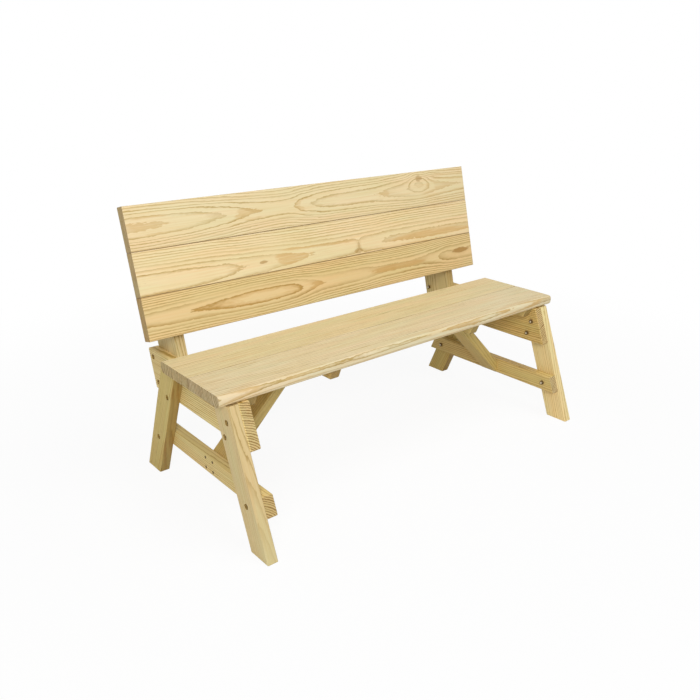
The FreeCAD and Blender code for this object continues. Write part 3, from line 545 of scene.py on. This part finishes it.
# Sticks given paler or darker pine than their partners on the other side, as painted light
# and shade: the right rails darker and warmer for their shaded inner faces, the right front leg
# paler for its lit inner face, and the left back post paler than the right one, whose pine is
# darkened for shade.
LIT_AND_SHADED_CUTS = {
    "back_post_left": Cut((231, 213, 163), heart=(0.3, 0.03), ring=0.009, contrast=1.0),
    "front_leg_right": Cut((245, 226, 173), heart=(-1.3, 0.03), ring=0.0075, contrast=1.0),
    "upper_rail_right": Cut(
        (216, 190, 124), heart=(1.35, 0.03), ring=0.0066, contrast=2.3, ends=(0.95, 0.97, 1.2)),
    "lower_rail_right": Cut(
        (220, 196, 132), heart=(1.9, 0.04), ring=0.0065, contrast=1.5, ends=(0.92, 0.96, 1.25)),
}

# The braces' pine is darkened as painted shade, for where they sit under the seat.
BRACE_CUT = Cut((208, 184, 118), heart=(-0.8, 0.04), ring=0.0075, contrast=1.1)
CLEAT_CUT = Cut((214, 192, 140), heart=(0.3, 0.03), ring=0.006, contrast=0.8)


def lay(name, cut, along, across, through):
    """Give one timber its pine."""
    paint(name, Pine(name, cut, along, across, through).finished())


def lay_timber():
    """Give every timber its own pine."""
    for place, cut in BACK_CUTS.items():
        lay(f"back_board_{place}", cut, RIGHT, UP_BACK, INTO_BACK)
    for place, cut in SEAT_CUTS.items():
        lay(f"seat_board_{place}", cut, RIGHT, REARWARD, -UP)
    lay("back_middle_cleat", CLEAT_CUT, UP_BACK, RIGHT, INTO_BACK)
    for side, way in SIDES.items():
        for stick, (along, cut) in STICKS.items():
            name = f"{stick}_{side}"
            lay(name, LIT_AND_SHADED_CUTS.get(name, cut), along, along.cross(RIGHT), -way * RIGHT)
        rising = Vector((-way, 0, 1)).normalized()
        lay(f"brace_{side}", BRACE_CUT, rising, REARWARD, rising.cross(REARWARD))


# Round, six-sided and fluted outlines for turned pieces. Each gives the radius at an angle from a
# size across.
FLUTES = 24
FLUTE_DEPTH = 0.03


def circle(size, _angle):
    return size / 2


def hexagon(size, angle):
    return size / 2 / math.cos((angle + math.pi / 6) % (math.pi / 3) - math.pi / 6)


def fluted(size, angle):
    return size / 2 * (1 - FLUTE_DEPTH * math.cos(FLUTES * angle))


# Flat sides round a turned piece, and round a knob whose flutes need more.
STEPS_ROUND = 36
KNOB_STEPS_ROUND = 96


def turned(shape, rings, base, steps):
    """Skin rings of points about an axis.

    Each ring is an outline, its size across, and its place along.
    """
    loops = []
    for outline, size, along in rings:
        loop = []
        for step in range(steps):
            angle = 2 * math.pi * step / steps
            radius = outline(size, angle)
            point = Vector((radius * math.cos(angle), radius * math.sin(angle), along))
            loop.append(shape.verts.new(base @ point))
        loops.append(loop)
    for first, second in zip(loops, loops[1:]):
        for step in range(steps):
            after = (step + 1) % steps
            shape.faces.new((first[step], first[after], second[after], second[step]))
    return loops


def capped(shape, rings, base, steps):
    """A turned piece that is closed at both ends."""
    loops = turned(shape, rings, base, steps)
    shape.faces.new(reversed(loops[0]))
    shape.faces.new(loops[-1])


def looped(shape, rings, base, steps):
    """A turned piece with a bore, whose last ring meets its first."""
    turned(shape, rings + rings[:1], base, steps)


def thread(core, crest, pitch, start, end):
    """Rings of a screw thread from start to end."""
    rings = []
    turns = int((end - start) / pitch)
    for turn in range(turns):
        foot = start + turn * pitch
        rings.append((circle, core, foot + 0.1 * pitch))
        rings.append((circle, crest, foot + 0.5 * pitch))
        rings.append((circle, core, foot + 0.9 * pitch))
    return rings


# Sizes of the fasteners in millimetres, as in the CAD.
BOLT = {"shank": 8, "head": 15, "head_height": 6, "socket": 5}
PIVOT_BOLT = {"shank": 12, "head": 26, "head_height": 7, "socket": 8}
NUT = {"width": 13, "bore": 8.1}
PIVOT_NUT = {"width": 19, "bore": 12.1}
WASHER = {"width": 20, "bore": 8.5}
PIVOT_WASHER = {"width": 30, "bore": 12.5}
SCREW = {"shank": 5, "head": 9.6, "head_height": 2.4}
LOCK_PIN = {"rod": 10, "knob": 24, "knob_length": 16, "neck": 16}
MILLIMETRE = 0.001


def bolt(length, shank, head, head_height, socket):
    """A bolt with a low round head and a six-sided socket, head first."""
    rings = [
        (hexagon, socket, head_height * 0.55),
        (hexagon, socket, 0.3),
        (circle, head * 0.7, 0.0),
        (circle, head * 0.86, 0.35),
        (circle, head * 0.97, 1.3),
        (circle, head, 2.2),
        (circle, head, head_height - 0.3),
        (circle, head * 0.97, head_height),
        (circle, shank, head_height),
        (circle, shank, length * 0.45),
    ]
    rings += thread(shank * 0.86, shank, shank * 0.156, length * 0.46, length - 0.6)
    return rings + [(circle, shank * 0.8, length - 0.3), (circle, shank * 0.7, length)]


def wood_screw(length, shank, head, head_height):
    """A screw with a flat head, a star-like recess and a long thread."""
    rings = [
        (hexagon, head * 0.4, head_height * 0.8),
        (hexagon, head * 0.42, 0.05),
        (circle, head * 0.94, 0.0),
        (circle, head, 0.25),
        (circle, head, head_height * 0.8),
        (circle, head * 0.9, head_height),
        (circle, shank * 0.8, head_height),
        (circle, shank * 0.8, length * 0.3),
    ]
    rings += thread(shank * 0.7, shank, shank * 0.45, length * 0.31, length - 2.5)
    return rings + [(circle, shank * 0.6, length - 2.2), (circle, shank * 0.1, length)]


def nut(height, width, bore):
    """A six-sided nut with both faces eased."""
    return [
        (circle, bore, 0.4),
        (circle, bore + 0.7, 0.0),
        (circle, width * 0.93, 0.0),
        (hexagon, width * 0.97, 0.5),
        (hexagon, width, 0.9),
        (hexagon, width, height - 0.9),
        (hexagon, width * 0.97, height - 0.5),
        (circle, width * 0.93, height),
        (circle, bore + 0.7, height),
        (circle, bore, height - 0.4),
    ]


def washer(height, width, bore):
    """A flat ring with softened rims."""
    return [
        (circle, bore, 0.2),
        (circle, bore + 0.4, 0.0),
        (circle, width - 0.6, 0.0),
        (circle, width, 0.3),
        (circle, width, height - 0.3),
        (circle, width - 0.6, height),
        (circle, bore + 0.4, height),
        (circle, bore, height - 0.2),
    ]


def pin(length, rod, knob, knob_length, neck):
    """A turned knob with a fluted rim, on a rod with a rounded tip."""
    return [
        (circle, knob * 0.5, 0.4),
        (circle, knob * 0.62, 0.0),
        (circle, knob * 0.82, 0.15),
        (circle, knob * 0.93, 1.0),
        (fluted, knob * 0.985, 2.0),
        (fluted, knob * 0.985, 6.0),
        (circle, knob * 0.93, 7.0),
        (circle, neck * 1.1, 8.2),
        (circle, neck, 9.2),
        (circle, neck, knob_length - 1.0),
        (circle, neck * 0.92, knob_length),
        (circle, rod, knob_length),
        (circle, rod, length - 2.0),
        (circle, rod * 0.85, length - 0.8),
        (circle, rod * 0.5, length),
    ]


# Points of a CAD mesh that are closer than this are one, in metres.
WELD = 1e-6


def solids(node):
    """The points of each separate solid in a CAD node."""
    copy = bmesh.new()
    copy.from_mesh(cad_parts[node].data)
    bmesh.ops.remove_doubles(copy, verts=copy.verts, dist=WELD)
    found = set()
    groups = []
    for first in copy.verts:
        if first in found:
            continue
        found.add(first)
        group = [first]
        # The list grows while it is walked.
        for vertex in group:
            near = [edge.other_vert(vertex) for edge in vertex.link_edges]
            new = [other for other in near if other not in found]
            found.update(new)
            group += new
        groups.append([vertex.co.copy() for vertex in group])
    copy.free()
    return groups


def middle_of(points):
    return sum(points, Vector()) / len(points)


# Where the sunk bolts lie, whose recesses get painted shade on the timber.
BOLT_MIDDLES = [middle_of(points) for points in solids("leg_bolts") + solids("post_bolts")]


def seat_on(points, direction):
    """The turn and place for a piece in mm, and the length that it should have.

    Its base comes at the start of a solid and its axis along the direction.
    """
    start = min(point.dot(direction) for point in points)
    length = max(point.dot(direction) for point in points) - start
    middle = middle_of(points)
    base = middle + direction * (start - middle.dot(direction))
    turn = direction.to_track_quat("Z", "Y").to_matrix().to_4x4()
    return Matrix.Translation(base) @ turn @ Matrix.Scale(MILLIMETRE, 4), length / MILLIMETRE


# Faces that meet at less than this are shaded as one.
SMOOTH_BELOW = math.radians(28)


def dress(node, body, material, direction_of, build):
    """Replace a CAD node's fasteners with finer ones in the same places."""
    shape = bmesh.new()
    for points in solids(node):
        base, length = seat_on(points, direction_of(points))
        build(shape, base, length)
    bmesh.ops.recalc_face_normals(shape, faces=shape.faces)
    mesh = bpy.data.meshes.new(f"{node}_detailed")
    shape.to_mesh(mesh)
    shape.free()
    for polygon in mesh.polygons:
        polygon.use_smooth = True
    mesh.set_sharp_from_angle(angle=SMOOTH_BELOW)
    mesh.materials.append(material)
    piece = bpy.data.objects.new(f"{node}_detailed", mesh)
    bpy.context.collection.objects.link(piece)
    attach(piece, body)
    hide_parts(node)


def inward(points):
    """From the outer face of a side frame towards the middle of the bench."""
    return -RIGHT if middle_of(points).x > 0 else RIGHT


def outward(points):
    return -inward(points)


def upward(_points):
    return UP


def out_of_back(_points):
    """Towards the front, square to the boards of the back."""
    return -INTO_BACK


# The bolts are bare nearer to the middle of the bench than this, which is where their tips are.
TIPS_WITHIN = 0.67


def fit_fasteners():
    """Bolts, nuts, washers, screws and lock pins."""
    # The bronze's darkest tones are partly the coating's own colour and partly painted shade: the
    # sunk bolt heads are darkened to stand for the shade inside their recesses.
    bronze = steel("bronzed_steel", (86, 64, 36), (58, 42, 24), (140, 112, 70), 0.5)
    recess_shaded_tipped = steel("bronzed_steel_recess_shaded_bare_at_the_tip", (86, 64, 36), (58, 42, 24), (140, 112, 70),
                   0.5, TIPS_WITHIN)
    golden = steel("yellow_zinc_steel", (206, 178, 116), (170, 140, 84), (214, 200, 166), 0.45)
    zinc = steel("zinc_plated_steel", (196, 190, 174), (150, 144, 128), (216, 212, 200), 0.38)
    screw = steel("coated_screw_steel", (120, 96, 58), (82, 64, 38), (170, 144, 98), 0.5)

    def fit(node, direction_of, outline, sizes, skin=capped, body="frame", material=bronze,
            steps=STEPS_ROUND):
        dress(node, body, material, direction_of, lambda shape, base, length: skin(
            shape, outline(length, **sizes), base, steps))

    for node in ("leg_bolts", "post_bolts"):
        fit(node, inward, bolt, BOLT, material=recess_shaded_tipped)
    fit("pivot_bolts", inward, bolt, PIVOT_BOLT)
    for node in ("leg_washers", "post_washers"):
        fit(node, inward, washer, WASHER, skin=looped, material=golden)
    for node in ("leg_nuts", "post_nuts"):
        fit(node, inward, nut, NUT, skin=looped, material=screw)
    fit("pivot_nuts", inward, nut, PIVOT_NUT, skin=looped)
    for node in ("pivot_washers", "pivot_spacers"):
        fit(node, inward, washer, PIVOT_WASHER, skin=looped)

    screws = {
        "brace_foot_screws": (inward, "frame"),
        "end_cleat_side_screws": (outward, "frame"),
        "seat_cleat_screws": (upward, "frame"),
        "brace_head_screws": (upward, "frame"),
        "batten_screws": (out_of_back, "back"),
        "back_cleat_screws": (out_of_back, "back"),
    }
    for node, (direction_of, body) in screws.items():
        fit(node, direction_of, wood_screw, SCREW, body=body, material=screw)
    for side in SIDES:
        fit(f"lock_pin_{side}", inward, pin, LOCK_PIN, body=f"{side}_pin", material=zinc,
            steps=KNOB_STEPS_ROUND)


# How bright the white surround lights the bench, where 1 is the white that the camera sees.
AMBIENT = 0.3

# How far the floor reaches, and how far from the bench it turns plain white, in metres.
FLOOR_REACH = 30.0
FLOOR_FADE = (1.0, 2.6)

WHITE = (1, 1, 1, 1)


def pale_floor():
    """A pale floor that keeps the shadow, and that the camera sees almost as plain white."""
    finish = Finish(bpy.data.materials.new("pale_floor"))
    place = finish.place()
    speckle = finish.ramp(finish.noise(place, 90.0, 3.0), -1, 1)
    colour = finish.mix(speckle, (0.93, 0.93, 0.93, 1), (0.95, 0.95, 0.95, 1))
    diffuse = finish.node("ShaderNodeBsdfDiffuse", None, {"Color": colour})
    glow = finish.node("ShaderNodeEmission", None, {"Color": WHITE, "Strength": 1.0})
    away = finish.node("ShaderNodeVectorMath", {"operation": "LENGTH"}, {0: place}, "Value")
    seen = finish.node("ShaderNodeLightPath", None, None, "Is Camera Ray")
    share = seen * finish.ramp(away, *FLOOR_FADE, 0.92, 1.0)
    finish.close(finish.node("ShaderNodeMixShader", None, {0: share, 1: diffuse, 2: glow}))
    mesh = bpy.data.meshes.new("floor")
    corners = [(x * FLOOR_REACH, y * FLOOR_REACH, 0)
               for x, y in ((-1, -1), (1, -1), (1, 1), (-1, 1))]
    mesh.from_pydata(corners, [], [(0, 1, 2, 3)])
    mesh.materials.append(finish.owner)
    floor = bpy.data.objects.new("floor", mesh)
    bpy.context.collection.objects.link(floor)


def white_surround():
    """Plain white to the camera and in reflections, and a fainter light on the bench."""
    world = bpy.data.worlds.new("white_surround")
    bpy.context.scene.world = world
    sky = Finish(world, "ShaderNodeOutputWorld")
    plain = 0.0
    for ray in ("Is Camera Ray", "Is Glossy Ray", "Is Transmission Ray"):
        plain = sky.math("MAXIMUM", plain, sky.node("ShaderNodeLightPath", None, None, ray))
    level = sky.ramp(plain, 0.0, 1.0, AMBIENT, 1.0)
    sky.close(sky.node("ShaderNodeBackground", None, {"Color": WHITE, "Strength": level}))


def lamp(name, place, aim, size, power):
    data = bpy.data.lights.new(name, "AREA")
    data.shape = "DISK"
    data.size = size
    data.energy = power
    item = bpy.data.objects.new(name, data)
    item.location = place
    item.rotation_euler = (Vector(aim) - Vector(place)).to_track_quat("-Z", "Y").to_euler()
    bpy.context.collection.objects.link(item)


def camera():
    """The camera at the photograph's place, matched to the edges of the bench."""
    place = (-1.6522, -1.8777, 1.3345)
    azimuth = math.radians(39.976)
    elevation = math.radians(22.144)
    roll = math.radians(0.178)
    focal_pixels = 727.91
    frame_pixels = 700
    middle = (352.8, 361.3)
    data = bpy.data.cameras.new("photograph_camera")
    data.sensor_width = 36
    data.lens = focal_pixels / frame_pixels * data.sensor_width
    data.shift_x = 0.5 - middle[0] / frame_pixels
    data.shift_y = middle[1] / frame_pixels - 0.5
    data.clip_end = 100
    ahead = Vector((
        math.sin(azimuth) * math.cos(elevation),
        math.cos(azimuth) * math.cos(elevation),
        -math.sin(elevation),
    ))
    right = Vector((math.cos(azimuth), -math.sin(azimuth), 0))
    turned_to = Matrix((right, right.cross(ahead), -ahead)).transposed().to_4x4()
    turned_to = turned_to @ Matrix.Rotation(roll, 4, "Z")
    item = bpy.data.objects.new("photograph_camera", data)
    item.matrix_world = Matrix.Translation(place) @ turned_to
    bpy.context.collection.objects.link(item)
    bpy.context.scene.camera = item


lay_timber()
fit_fasteners()
pale_floor()
white_surround()
lamp("key_softbox", place=(-4.0, -4.6, 4.0), aim=(0, 0, 0.5), size=2.8, power=225)
lamp("overhead_softbox", place=(0.5, -1.2, 4.6), aim=(0, 0, 0.4), size=2.6, power=72)
camera()
bpy.context.scene.view_settings.view_transform = "Standard"
